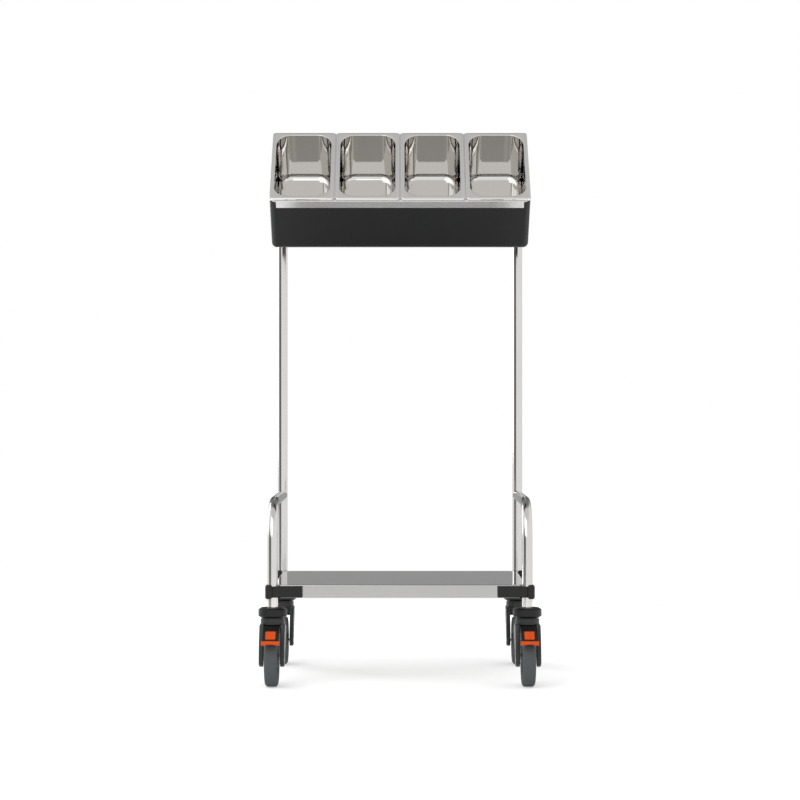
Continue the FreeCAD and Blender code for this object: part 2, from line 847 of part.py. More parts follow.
def console_bolt_axes():
    """Places of the console bolts in the rim plane's frame, as (x, y)."""
    places = []
    for side in sides.values():
        for along in (console_low + console_bolt_front, console_high - console_bolt_back):
            places.append((side * console_bolt_x, along))
    return places


def make_tub():
    """Open black tub with round edges, holed for the console bolts."""
    solid = tub_box(0.0, tub_top).cut(tub_box(tub_wall, tub_top + 1))
    for x, along in console_bolt_axes():
        hole_r = console_bolt_d / 2 + console_bolt_gap
        solid = solid.cut(post(hole_r, x, along, -tub_depth - 1, -tub_depth + tub_wall + 1))
    return leaned(solid)


def make_carrier_frame():
    """Flat frame with a mouth for each container and a flange front and back."""
    width = tub_width - 2 * carrier_side_inset
    middle = pan_length / 2
    length = tub_length + 2 * (carrier_sheet + carrier_fit)
    frame = round_block(width, length, tub_edge_r, middle, tub_top, carrier_top)
    flange_half = tub_width / 2 - tub_edge_r
    for side in (-1, 1):
        outer = middle + side * length / 2
        inner = outer - side * carrier_sheet
        flange = block(
            -flange_half, flange_half, outer, inner, carrier_top - carrier_flange, carrier_top
        )
        frame = frame.fuse(flange)
    frame = frame.removeSplitter()
    mouth_width = pan_mouth_width + 2 * (pan_sheet + carrier_mouth_gap)
    mouth_length = pan_mouth_length + 2 * (pan_sheet + carrier_mouth_gap)
    for number in range(1, pan_count + 1):
        x = (number - (pan_count + 1) / 2) * pan_pitch
        mouth = round_block(
            mouth_width, mouth_length, carrier_mouth_r, middle, tub_top - 1, carrier_top + 1, x
        )
        frame = frame.cut(mouth)
    return leaned(frame)


def make_console(side):
    """Folded bracket: a flange under the tub and a web to the upright."""
    web_inner = leg_x + console_web_out
    web_outer = web_inner + console_sheet
    flange_inner = min(console_bolt_x - console_bolt_edge, web_inner)
    flange_outer = max(console_bolt_x + console_bolt_d, web_outer)
    low = -tub_depth - console_sheet
    flange = block(side * flange_inner, side * flange_outer, console_low, console_high, low, -tub_depth)
    for x, along in console_bolt_axes():
        flange = flange.cut(post(console_bolt_d / 2 + console_bolt_gap, x, along, low - 1, -tub_depth + 1))
    front_low = leaned_point(console_low, low)
    back_high = leaned_point(console_high, low)
    front_top = leaned_point(console_low, -tub_depth)
    back_top = leaned_point(console_high, -tub_depth)
    outline = [
        front_low,
        front_top,
        back_top,
        (rear_leg_y, back_high[1]),
        (rear_leg_y, front_low[1] - console_foot_drop),
    ]
    web = plate(outline, side * web_inner, side * web_outer)
    web = web.cut(post(tube_r + weld_gap, side * leg_x, rear_leg_y, tube_start, upright_top))
    return web.fuse(leaned(flange)).removeSplitter()


def make_console_bolts():
    """Low-head bolts through the tub's floor, with nuts under the flanges."""
    bolts = []
    for x, along in console_bolt_axes():
        floor = -tub_depth + tub_wall
        under = -tub_depth - console_sheet
        head = post(console_head_d / 2, x, along, floor, floor + console_head)
        shank = post(console_bolt_d / 2, x, along, under - console_nut - 1, floor)
        bolt = head.fuse(shank).removeSplitter()
        nut = post(console_nut_d / 2, x, along, under - console_nut, under)
        nut = nut.cut(post(console_bolt_d / 2 + bearing_fit, x, along, under - console_nut, under))
        bolts.append(leaned(bolt))
        bolts.append(leaned(nut))
    return Part.makeCompound(bolts)


def main():
    os.makedirs("parts", exist_ok=True)
    for side_name, side in sides.items():
        save("upright_" + side_name, make_upright(side))
        save("side_hoop_" + side_name, make_side_hoop(side))
        save("console_" + side_name, make_console(side))
        save("brake_pedal_" + side_name, make_brake_pedal(side_name))
        save("brake_button_" + side_name, make_brake_button(side_name))
        save("brake_lip_" + side_name, make_brake_lip(side_name))
    save("upright_caps", make_upright_caps())
    save("shelf", make_shelf())
    save("clamp_caps", make_clamp_caps())
    save("clamp_screws", make_clamp_screws())
    save("swivel_bearings", make_swivel_bearings())
    for end_name, side_name in corners:
        corner = end_name + "_" + side_name
        save("shelf_clamp_" + corner, make_clamp(end_name, side_name))
        save("bumper_disc_" + corner, make_bumper_disc(end_name, side_name))
        save("castor_stem_" + corner, make_castor_stem(end_name, side_name))
        save("castor_fork_" + corner, make_castor_fork(end_name, side_name))
        save("axle_" + corner, make_axle(end_name, side_name))
        save("wheel_hub_" + corner, make_wheel_hub(end_name, side_name))
        save("tyre_" + corner, make_tyre(end_name, side_name))
        save("wheel_bearings_" + corner, make_wheel_bearings(end_name, side_name))
    save("tub", make_tub())
    save("carrier_frame", make_carrier_frame())
    save("console_bolts", make_console_bolts())
    for number in range(1, pan_count + 1):
        save("cutlery_pan_" + str(number), make_cutlery_pan(number))


main()
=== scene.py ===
"""Looks of the cutlery trolley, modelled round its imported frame. Metres, +Z up, the guest stands at -Y."""

import logging
import math
from dataclasses import dataclass
from enum import Enum
from typing import Callable

import bmesh
import bpy
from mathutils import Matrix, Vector


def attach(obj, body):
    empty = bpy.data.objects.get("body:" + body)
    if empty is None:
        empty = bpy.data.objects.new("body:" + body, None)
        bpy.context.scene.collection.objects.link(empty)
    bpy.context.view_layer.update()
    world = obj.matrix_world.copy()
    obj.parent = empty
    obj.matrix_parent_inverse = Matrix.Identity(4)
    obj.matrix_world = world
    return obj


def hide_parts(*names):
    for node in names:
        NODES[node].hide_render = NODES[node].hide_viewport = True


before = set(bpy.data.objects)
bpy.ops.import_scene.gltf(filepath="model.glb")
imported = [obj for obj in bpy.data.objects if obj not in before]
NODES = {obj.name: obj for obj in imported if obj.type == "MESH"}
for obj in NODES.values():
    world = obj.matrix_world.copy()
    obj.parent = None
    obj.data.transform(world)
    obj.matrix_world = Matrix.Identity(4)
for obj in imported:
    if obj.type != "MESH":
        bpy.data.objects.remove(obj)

log = logging.getLogger("trolley")
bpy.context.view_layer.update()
Triple = tuple[float, float, float]
Test = Callable[[Vector, Vector], bool]

# Places and sizes that the pieces share, in metres
LEG_X = 0.309
FRONT_Y = -0.185
REAR_Y = 0.265
TUBE_R = 0.0125
TUBE_WALL = 0.0015
TUBE_FOOT = 0.1675
CASTOR_TOP = 0.1625
TRAIL = 0.038
AXLE_Z = 0.0625
RIM_TILT = math.radians(45.0)
RIM_FRONT = Vector((0.0, -0.048732, 1.191617))
NEAR = 0.0002

# How square an edge of a ring lies to its spoke, and coordinates without a stretch
ALONG = 0.001
EVEN = (1.0, 1.0, 1.0)


class Corner(Enum):
    """The four legs, each with its side (-1 left, 1 right) and its place along Y."""

    FRONT_LEFT = (-1, FRONT_Y)
    FRONT_RIGHT = (1, FRONT_Y)
    REAR_LEFT = (-1, REAR_Y)
    REAR_RIGHT = (1, REAR_Y)

    @property
    def label(self) -> str:
        """Name of the corner as the frame's nodes and bodies write it."""
        return self.name.lower()

    @property
    def place(self) -> Vector:
        """Foot of the corner's swivel axis."""
        return Vector((self.value[0] * LEG_X, self.value[1], 0.0))


class Side(Enum):
    """Left and right of the trolley, as the guest sees it."""

    LEFT = -1
    RIGHT = 1

    @property
    def label(self) -> str:
        """Name of the side as the frame's nodes write it."""
        return self.name.lower()

    @property
    def place(self) -> Vector:
        """Foot of the swivel axis in front on this side."""
        return Vector((self.value * LEG_X, FRONT_Y, 0.0))


class Kind(Enum):
    """What an edit takes hold of, in the order of the selection modes."""

    VERT = "VERT"
    EDGE = "EDGE"
    FACE = "FACE"


def deselect() -> None:
    """Leave edit mode and deselect every object."""
    if bpy.context.object and bpy.context.object.mode == "EDIT":
        bpy.ops.object.mode_set(mode="OBJECT")
    for item in bpy.context.selected_objects:
        item.select_set(False)


def edge_gap(point: Vector, centre: Vector, half: tuple[float, float], radius: float) -> float:
    """Measure how far a point is outside a level rectangle with round corners.

    Args:
        point: The point, of which X and Y count.
        centre: Middle of the rectangle.
        half: Half of its size along X and Y.
        radius: Radius of its corners.

    Returns:
        The distance, negative inside.
    """
    over_x = abs(point.x - centre.x) - half[0] + radius
    over_y = abs(point.y - centre.y) - half[1] + radius
    outside = math.hypot(max(over_x, 0.0), max(over_y, 0.0))
    return outside + min(max(over_x, over_y), 0.0) - radius


class Work:
    """One piece on the bench: a primitive that is shaped in edit mode, its parts picked by place."""

    def __init__(self, name: str) -> None:
        """Take the object that was just added and bring its place into its mesh.

        Args:
            name: Name of the piece.
        """
        self.piece = bpy.context.object
        self.piece.name = name
        self.piece.data.name = name
        bpy.ops.object.transform_apply(location=True, rotation=True, scale=True)

    @classmethod
    def cube(cls, name: str, low: Triple, high: Triple) -> "Work":
        """Add a box between two corners."""
        deselect()
        middle = (Vector(low) + Vector(high)) / 2
        bpy.ops.mesh.primitive_cube_add(size=1.0, location=middle, scale=Vector(high) - Vector(low))
        return cls(name)

    @classmethod
    def plane(cls, name: str, low: Triple, high: Triple) -> "Work":
        """Add a level sheet between two corners at one height."""
        deselect()
        middle = (Vector(low) + Vector(high)) / 2
        bpy.ops.mesh.primitive_plane_add(size=1.0, location=middle)
        bpy.context.object.scale = (high[0] - low[0], high[1] - low[1], 1.0)
        return cls(name)

    @classmethod
    def round(cls, name: str, radius: float, centre: Triple, length: float, sides: int = 64,
              turn: Triple = (0.0, 0.0, 0.0), fill: str = "NGON") -> "Work":
        """Add a round bar.

        Args:
            name: Name of the piece.
            radius: Its radius.
            centre: Its middle.
            length: Its length, along Z before the turn.
            sides: Number of its sides.
            turn: Turn about X, Y and Z.
            fill: How its ends are closed, NGON or NOTHING.

        Returns:
            The piece on the bench.
        """
        deselect()
        bpy.ops.mesh.primitive_cylinder_add(
            vertices=sides, radius=radius, depth=length, location=centre, rotation=turn, end_fill_type=fill)
        return cls(name)

    @classmethod
    def ring(cls, name: str, radius: float, centre: Triple, sides: int = 64) -> "Work":
        """Add an open level circle."""
        deselect()
        bpy.ops.mesh.primitive_circle_add(vertices=sides, radius=radius, location=centre, fill_type="NOTHING")
        return cls(name)

    def hold(self) -> "Work":
        """Leave edit mode, with this piece alone selected."""
        deselect()
        self.piece.select_set(True)
        bpy.context.view_layer.objects.active = self.piece
        return self

    def edit(self) -> "Work":
        """Enter edit mode on this piece."""
        if self.piece.mode != "EDIT":
            self.hold()
            bpy.ops.object.mode_set(mode="EDIT")
        return self

    def pick(self, kind: Kind, test: Test) -> "Work":
        """Select what passes a test, and nothing else.

        Args:
            kind: What is selected.
            test: Takes the middle and the normal, or an edge's direction, of each.

        Returns:
            The piece, in edit mode.
        """
        self.edit()
        bpy.context.tool_settings.mesh_select_mode = [kind is one for one in Kind]
        shape = bmesh.from_edit_mesh(self.piece.data)
        shape.select_mode = {kind.value}
        for group in (shape.faces, shape.edges, shape.verts):
            for item in group:
                item.select_set(False)
        if kind is Kind.VERT:
            chosen = [one for one in shape.verts if test(one.co, one.normal)]
        elif kind is Kind.EDGE:
            chosen = [one for one in shape.edges if test(
                (one.verts[0].co + one.verts[1].co) / 2, (one.verts[1].co - one.verts[0].co).normalized())]
        else:
            chosen = [one for one in shape.faces if test(one.calc_center_median(), one.normal)]
        if not chosen:
            raise ValueError("nothing picked on " + self.piece.name)
        for item in chosen:
            item.select_set(True)
        shape.select_flush_mode()
        bmesh.update_edit_mesh(self.piece.data)
        return self

    def edges(self, test: Test) -> "Work":
        """Select the edges that pass a test."""
        return self.pick(Kind.EDGE, test)

    def faces(self, test: Test) -> "Work":
        """Select the faces that pass a test."""
        return self.pick(Kind.FACE, test)

    def all(self) -> "Work":
        """Select the whole mesh."""
        self.edit()
        bpy.ops.mesh.select_all(action="SELECT")
        return self

    def bevel(self, width: float, segments: int, kind: Kind = Kind.EDGE) -> "Work":
        """Round or chamfer the picked edges or corners."""
        affect = "VERTICES" if kind is Kind.VERT else "EDGES"
        bpy.ops.mesh.bevel(offset=width, segments=segments, affect=affect, clamp_overlap=True, loop_slide=False)
        return self

    def inset(self, thickness: float, depth: float = 0.0) -> "Work":
        """Inset the picked faces."""
        bpy.ops.mesh.inset(thickness=thickness, depth=depth)
        return self

    def extrude(self, way: Triple) -> "Work":
        """Extrude what is picked."""
        bpy.ops.mesh.extrude_region_move(TRANSFORM_OT_translate={"value": way})
        return self

    def stretch(self, factor: Triple, centre: Triple) -> "Work":
        """Scale what is picked about a point."""
        bpy.ops.transform.resize(value=factor, center_override=centre)
        return self

    def shift(self, way: Triple) -> "Work":
        """Move what is picked."""
        bpy.ops.transform.translate(value=way)
        return self

    def drop(self, what: str) -> "Work":
        """Delete what is picked: FACE, or ONLY_FACE to keep its edges."""
        bpy.ops.mesh.delete(type=what)
        return self

    def bridge(self) -> "Work":
        """Bridge the two picked loops."""
        bpy.ops.mesh.bridge_edge_loops()
        return self

    def spin(self, turn: float, steps: int, centre: Triple, axis: Triple) -> "Work":
        """Spin what is picked about an axis."""
        bpy.ops.mesh.spin(steps=steps, angle=turn, center=centre, axis=axis)
        return self

    def draw_out(self, along: int, across: int, first: Triple, stations: tuple[Triple, ...]) -> "Work":
        """Draw the picked end face out through stations, each a place with the low and high side there.

        Args:
            along: Axis that the piece grows along, 0 to 2.
            across: Axis on which its low and high side change.
            first: Place and sides of the end face as it is.
            stations: The stations. The end face itself moves to the first one.

        Returns:
            The piece, in edit mode.
        """
        spot, low, high = first
        for number, (next_spot, next_low, next_high) in enumerate(stations):
            way, factor, centre = [0.0] * 3, [1.0] * 3, [0.0] * 3
            way[along] = next_spot - spot
            way[across] = (next_low + next_high - low - high) / 2
            factor[across] = (next_high - next_low) / (high - low)
            centre[along], centre[across] = next_spot, (next_low + next_high) / 2
            move = self.extrude if number else self.shift
            move(way).stretch(factor, centre)
            spot, low, high = next_spot, next_low, next_high
        return self

    def face_out(self) -> "Work":
        """Merge doubles and turn all the faces outwards."""
        self.all()
        bpy.ops.mesh.remove_doubles(threshold=0.000002)
        bpy.ops.mesh.normals_make_consistent(inside=False)
        return self

    def face_along(self, test: Test, way: Triple) -> "Work":
        """Make the faces agree, with those that pass a test turned along a direction.

        Args:
            test: Picks faces whose side is known.
            way: The direction that they face.

        Returns:
            The piece, in edit mode.
        """
        self.face_out()
        shape = bmesh.from_edit_mesh(self.piece.data)
        known = [one.normal for one in shape.faces if test(one.calc_center_median(), one.normal)]
        if sum(normal.dot(Vector(way)) for normal in known) < 0.0:
            bpy.ops.mesh.flip_normals()
        return self

    def modify(self, kind: str, **values: object) -> "Work":
        """Add a modifier with these values and apply it."""
        self.hold()
        modifier = self.piece.modifiers.new(kind.lower(), kind)
        for key, value in values.items():
            setattr(modifier, key, value)
        bpy.ops.object.modifier_apply(modifier=modifier.name)
        return self

    def cut(self, tool: "Work", operation: str = "DIFFERENCE") -> "Work":
        """Cut this piece with another, or join the two shapes in one, and clear the other away."""
        tool.hold()
        self.modify("BOOLEAN", object=tool.piece, operation=operation, solver="EXACT")
        tool.clear()
        return self

    def gather(self, others: list["Work"]) -> "Work":
        """Join other pieces to this one as they are."""
        self.hold()
        for other in others:
            other.piece.select_set(True)
        bpy.ops.object.join()
        return self

    def place(self, shift: Triple, turn: float = 0.0) -> "Work":
        """Turn the piece about the X axis, move it, and bring both into its mesh."""
        self.hold()
        self.piece.rotation_euler = (turn, 0.0, 0.0)
        self.piece.location = shift
        bpy.ops.object.transform_apply(location=True, rotation=True, scale=True)
        return self

    def lean(self) -> "Work":
        """Bring a piece from the rim plane's own frame to its place on the trolley."""
        return self.place(RIM_FRONT, RIM_TILT)

    def copy(self, name: str, shift: Triple) -> "Work":
        """Copy the piece, with its own mesh, to another place."""
        self.hold()
        twin = self.piece.copy()
        twin.data = self.piece.data.copy()
        bpy.context.scene.collection.objects.link(twin)
        deselect()
        twin.select_set(True)
        bpy.context.view_layer.objects.active = twin
        twin.location = shift
        return Work(name)

    def soften(self, angle: float = 35.0) -> "Work":
        """Shade the piece smooth, apart from edges sharper than an angle, its flat faces left flat."""
        self.hold()
        bpy.ops.object.shade_smooth_by_angle(angle=math.radians(angle))
        return self.modify("WEIGHTED_NORMAL", keep_sharp=True, weight=100)

    def finish(self, material: bpy.types.Material, slot: str, body: str, nodes: list[str]) -> "Work":
        """Dress the piece, ride it on its body, and let it stand for its nodes.

        Args:
            material: Its material.
            slot: Not used.
            body: The body that it rides on.
            nodes: The frame's nodes that it replaces.

        Returns:
            The finished piece.
        """
        self.hold()
        self.piece.data.materials.clear()
        self.piece.data.materials.append(material)
        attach(self.piece, body)
        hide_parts(*nodes)
        log.info("modelled %s, %d faces, on %s", self.piece.name, len(self.piece.data.polygons), body)
        return self

    def clear(self) -> None:
        """Take the piece away."""
        bpy.data.objects.remove(self.piece)

    def set_at(self, spot: Corner | Side, name: str, material: bpy.types.Material, slot: str, body: str,
               node: str) -> None:
        """Set a finished copy of the piece at a spot.

        Args:
            spot: The corner or side. Its label fills the braces of the names.
            name: Name of the copy.
            material: Its material.
            slot: Not used.
            body: Name of the body that it rides on.
            node: Name of the node that it replaces.
        """
        twin = self.copy(name.format(spot.label), spot.place)
        twin.finish(material, slot, body.format(spot.label), [node.format(spot.label)])


@dataclass
class Pans:
    """Four deep-drawn steel containers, each with a flat rim, a turned-down lip and a round-cornered mouth."""

    width: float = 0.162
    length: float = 0.265
    depth: float = 0.142
    sheet: float = 0.001
    rim: float = 0.011
    lip: float = 0.0065
    pitch: float = 0.1638
    corner: float = 0.008
    mouth: float = 0.038
    floor_round: float = 0.015
    mouth_roll: float = 0.0015
    rim_round: float = 0.0025
    steps: int = 12

    @property
    def middle(self) -> Vector:
        """Middle of the rim, level, in the rim plane's frame."""
        return Vector((0.0, self.length / 2, 0.0))

    @property
    def mouth_half(self) -> tuple[float, float]:
        """Half of the mouth's size along X and Y."""
        return (self.width / 2 - self.rim, self.length / 2 - self.rim)

    def bowl(self) -> Work:
        """Shape the bowl's inner face, open at the top."""
        half = self.mouth_half
        floor = -self.depth + self.sheet
        low = (-half[0], self.middle.y - half[1], floor)
        bowl = Work.cube("bowl", low, (half[0], self.middle.y + half[1], 0.0))
        bowl.edges(lambda m, d: abs(d.z) > 0.9).bevel(self.mouth, self.steps)
        bowl.faces(lambda m, d: d.z > 0.9).drop("FACE")
        bowl.edges(lambda m, d: m.z < floor + NEAR).bevel(self.floor_round, 8)
        return bowl

    def pan(self) -> Work:
        """Bridge the bowl to the rim's outline and thicken the whole sheet."""
        pan = self.bowl()
        raised = self.lip
        rim = Work.cube("rim", (-self.width / 2, 0.0, raised - self.lip), (self.width / 2, self.length, raised))
        rim.edges(lambda m, d: abs(d.z) > 0.9).bevel(self.corner, self.steps)
        rim.faces(lambda m, d: d.z > 0.9).drop("FACE")
        rim.faces(lambda m, d: d.z < -0.9).drop("FACE")
        pan.gather([rim])
        outline = (self.width / 2, self.length / 2)
        pan.edges(lambda m, d: abs(d.z) < 0.1 and (
            m.z > raised - NEAR or m.z > -NEAR and abs(edge_gap(m, self.middle, self.mouth_half, self.mouth)) < NEAR))
        pan.bridge()
        pan.pick(Kind.VERT, lambda m, d: edge_gap(m, self.middle, outline, self.corner) > -NEAR)
        pan.shift((0.0, 0.0, -raised))
        pan.face_along(lambda m, d: abs(m.z) < NEAR, (0.0, 0.0, 1.0))
        pan.edges(lambda m, d: abs(m.z) < NEAR and edge_gap(
            m, self.middle, outline, self.corner) > -NEAR).bevel(self.rim_round, 4)
        pan.edges(lambda m, d: abs(m.z) < NEAR and abs(edge_gap(
            m, self.middle, self.mouth_half, self.mouth)) < NEAR).bevel(self.mouth_roll, 3)
        pan.modify("SOLIDIFY", thickness=self.sheet, offset=-1.0, use_even_offset=True)
        return pan.soften(40.0)

    def build(self, paint: "Paint") -> None:
        """Model one container and set four of them in the carrier."""
        first = self.pan()
        for number in range(1, 5):
            pan = first.copy(f"pan_{number}", ((number - 2.5) * self.pitch, 0.0, 0.0)).lean()
            pan.finish(paint.get("pan steel"), "pan_steel", f"pan_{number}", [f"cutlery_pan_{number}"])
        first.clear()


@dataclass
class Tub:
    """Black tub with round edges, in the rim plane's frame."""

    half_width: float = 0.3259
    front: float = -0.0015
    back: float = 0.2665
    top: float = -0.0082
    floor: float = -0.166
    edge: float = 0.0135
    wall: float = 0.003

    def build(self, paint: "Paint") -> None:
        """Model the tub."""
        low = (-self.half_width, self.front, self.floor)
        tub = Work.cube("tub_shell", low, (self.half_width, self.back, self.top))
        tub.faces(lambda m, d: d.z > 0.9).drop("FACE")
        tub.edges(lambda m, d: abs(d.z) > 0.9 or m.z < self.floor + NEAR).bevel(self.edge, 8)
        tub.modify("SOLIDIFY", thickness=self.wall, offset=-1.0, use_even_offset=True)
        tub.soften(40.0).lean()
        tub.finish(paint.get("tub black"), "tub_black", "stand", ["tub"])


@dataclass
class Carrier:
    """Steel frame on the tub: a plate with four mouths and a bent flange front and back."""

    half_width: float = 0.3229
    front: float = -0.0031
    back: float = 0.2681
    top: float = -0.0067
    sheet: float = 0.0015
    corner: float = 0.0135
    flange: float = 0.0205
    bend: float = 0.0022
    mouth: tuple[float, float] = (0.0725, 0.124)
    mouth_round: float = 0.0405
    reach: float = 0.01

    def cutter(self, centre_x: float, centre_y: float) -> Work:
        """Shape the bar that one mouth is cut with."""
        low = (centre_x - self.mouth[0], centre_y - self.mouth[1], self.top - self.reach)
        high = (centre_x + self.mouth[0], centre_y + self.mouth[1], self.top + self.reach)
        tool = Work.cube("mouth", low, high)
        return tool.edges(lambda m, d: abs(d.z) > 0.9).bevel(self.mouth_round, 12)

    def build(self, paint: "Paint") -> None:
        """Model the frame."""
        frame_plate = Work.plane(
            "carrier", (-self.half_width, self.front, self.top), (self.half_width, self.back, self.top))
        frame_plate.pick(Kind.VERT, lambda m, d: True).bevel(self.corner, 6, Kind.VERT)
        for end in (self.front, self.back):
            frame_plate.edges(lambda m, d: abs(m.y - end) < NEAR and abs(d.x) > 0.9)
            frame_plate.extrude((0.0, 0.0, -self.flange))
            frame_plate.edges(lambda m, d: abs(m.y - end) < NEAR and abs(d.x) > 0.9 and m.z > self.top - NEAR)
            frame_plate.bevel(self.bend, 5)
        frame_plate.face_along(lambda m, d: abs(m.z - self.top) < NEAR, (0.0, 0.0, 1.0))
        frame_plate.modify("SOLIDIFY", thickness=self.sheet, offset=-1.0, use_even_offset=True)
        for number in range(4):
            frame_plate.cut(self.cutter((number - 1.5) * Pans.pitch, Pans.length / 2))
        frame_plate.soften(40.0).lean()
        frame_plate.finish(paint.get("carrier steel"), "carrier_steel", "stand", ["carrier_frame"])


@dataclass
class Shelf:
    """Folded sheet shelf with lips, notched round the clamps."""

    half_width: float = 0.308
    end_inset: float = 0.0075
    top: float = 0.241
    lip: float = 0.032
    sheet: float = 0.0015
    bend: float = 0.003
    notch_x: float = 0.291
    notch_y: float = 0.018
    clear: float = 0.001

    def build(self, paint: "Paint") -> None:
        """Model the shelf."""
        base = self.top - self.lip
        low = (-self.half_width, FRONT_Y + self.end_inset, base)
        shelf = Work.cube("shelf_tray", low, (self.half_width, REAR_Y - self.end_inset, self.top))
        shelf.faces(lambda m, d: d.z < -0.9).drop("FACE")
        shelf.edges(lambda m, d: abs(d.z) > 0.9 or m.z > self.top - NEAR).bevel(self.bend, 5)
        shelf.modify("SOLIDIFY", thickness=self.sheet, offset=-1.0, use_even_offset=True)
        for corner in Corner:
            side, leg_y = corner.value
            ends = sorted((side * self.notch_x, side * (self.half_width + self.clear)))
            shelf.cut(Work.cube("notch", (ends[0], leg_y - self.notch_y, base - self.clear),
                                (ends[1], leg_y + self.notch_y, self.top + self.clear)))
        shelf.soften(40.0)
        shelf.finish(paint.get("shelf steel"), "shelf_steel", "stand", ["shelf"])


@dataclass
class Tubes:
    """Two long uprights, and the two hoops of front leg, bend and level rail."""

    upright_top: float = 1.312
    rail: float = 0.440
    bend: float = 0.100
    bend_steps: int = 32
    sides: int = 64
    cope: float = 0.0001

    def upright(self, side: Side, paint: "Paint") -> None:
        """Model one upright."""
        length = self.upright_top - TUBE_FOOT
        centre = (side.value * LEG_X, REAR_Y, TUBE_FOOT + length / 2)
        tube = Work.round(f"upright_tube_{side.label}", TUBE_R, centre, length, self.sides, fill="NOTHING")
        tube.modify("SOLIDIFY", thickness=TUBE_WALL, offset=-1.0, use_even_offset=True).soften()
        tube.finish(paint.get("tube steel"), "tube_steel", "stand", [f"upright_{side.label}"])

    def hoop(self, side: Side, paint: "Paint") -> None:
        """Model one hoop and cope its rail to the upright."""
        x = side.value * LEG_X
        knee = self.rail - self.bend
        tube = Work.ring(f"hoop_tube_{side.label}", TUBE_R, (x, FRONT_Y, TUBE_FOOT), self.sides)
        tube.all().extrude((0.0, 0.0, knee - TUBE_FOOT))
        tube.spin(math.pi / 2, self.bend_steps, (x, FRONT_Y + self.bend, knee), (1.0, 0.0, 0.0))
        tube.extrude((0.0, REAR_Y - FRONT_Y - self.bend, 0.0))
        tube.face_along(lambda m, d: m.z > self.rail + TUBE_R * 0.9, (0.0, 0.0, 1.0))
        tube.modify("SOLIDIFY", thickness=TUBE_WALL, offset=-1.0, use_even_offset=True)
        tube.cut(Work.round("cope", TUBE_R + self.cope, (x, REAR_Y, self.rail), 4 * TUBE_R, self.sides))
        tube.soften()
        tube.finish(paint.get("tube steel"), "tube_steel", "stand", [f"side_hoop_{side.label}"])

    def build(self, paint: "Paint") -> None:
        """Model all four tubes."""
        for side in Side:
            self.upright(side, paint)
            self.hoop(side, paint)


@dataclass
class Bumper:
    """Thick round disc with chamfered edges round the foot of each tube."""

    radius: float = 0.035
    height: float = 0.0245
    slope_out: float = 0.0065
    slope_up: float = 0.0045
    edge: float = 0.0006
    fit: float = 0.0001

    def disc(self) -> Work:
        """Shape one disc about the swivel axis."""
        middle = CASTOR_TOP + self.height / 2
        disc = Work.round("disc", self.radius, (0.0, 0.0, middle), self.height - 2 * self.slope_up, 96)
        share = 1.0 - self.slope_out / self.radius
        for way in (1.0, -1.0):
            disc.faces(lambda m, d: d.z * way > 0.9).extrude((0.0, 0.0, way * self.slope_up))
            disc.stretch((share, share, 1.0), (0.0, 0.0, middle))
            disc.inset(self.radius - self.slope_out - TUBE_R - self.fit).drop("FACE")
        disc.edges(lambda m, d: math.hypot(m.x, m.y) < TUBE_R + self.fit + NEAR).bridge()
        disc.edges(lambda m, d: abs(d.z) < 0.1 and math.hypot(m.x, m.y) > 2 * TUBE_R and abs(
            m.x * d.x + m.y * d.y) < ALONG).bevel(self.edge, 2)
        disc.face_out()
        return disc.soften(20.0)

    def build(self, paint: "Paint") -> None:
        """Model one disc and seat it on all four castors."""
        disc = self.disc()
        for corner in Corner:
            disc.set_at(corner, "disc_{}", paint.get("clamp black"), "clamp_black", "stand", "bumper_disc_{}")
        disc.clear()


